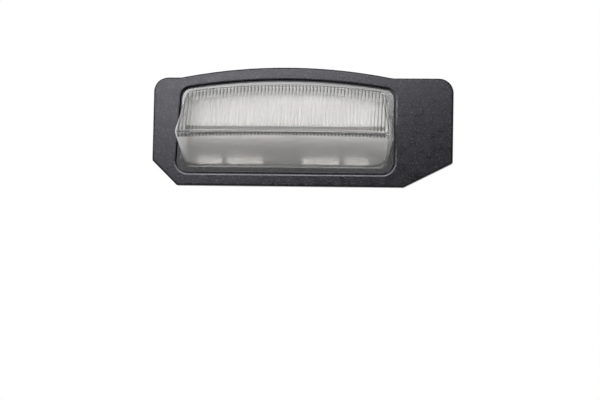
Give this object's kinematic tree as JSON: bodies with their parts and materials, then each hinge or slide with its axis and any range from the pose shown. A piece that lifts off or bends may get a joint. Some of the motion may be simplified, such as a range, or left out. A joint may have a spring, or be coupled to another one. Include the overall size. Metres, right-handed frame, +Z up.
{
  "type": "number plate lamp",
  "caption": "Snap-in number plate lamp with an arched black flange, a ridged and fluted clear lens over an LED board, and a rear box with a plug socket, a spring clip and a fixed hook.",
  "frame": {"origin": "middle of the lens opening, on the rear face of the flange, which meets the panel", "axes": "+X along the lamp towards the spring clip, +Y from the lens into the panel, +Z up"},
  "size_m": [0.087, 0.031, 0.0344],
  "materials": {
    "black_plastic": "matte",
    "clear_plastic": "gloss",
    "white_plastic": "satin",
    "white_board": "satin",
    "led_package": "satin",
    "chip_resistor": "satin",
    "black_epoxy": "matte",
    "tinned_brass": "satin",
    "white_paper": "matte"
  },
  "bodies": {
    "root": {"housing": "black_plastic", "lens": "clear_plastic", "reflector": "white_plastic", "led_board": "white_board", "led_01": "led_package", "led_02": "led_package", "led_03": "led_package", "led_04": "led_package", "led_05": "led_package", "led_06": "led_package", "led_07": "led_package", "led_08": "led_package", "led_09": "led_package", "led_10": "led_package", "resistor_1": "chip_resistor", "resistor_2": "chip_resistor", "resistor_3": "chip_resistor", "resistor_4": "chip_resistor", "load_resistor_1": "chip_resistor", "load_resistor_2": "chip_resistor", "polarity_diode": "black_epoxy", "terminal_blade_positive": "tinned_brass", "terminal_blade_negative": "tinned_brass", "date_label": "white_paper"}
  },
  "joints": []
}
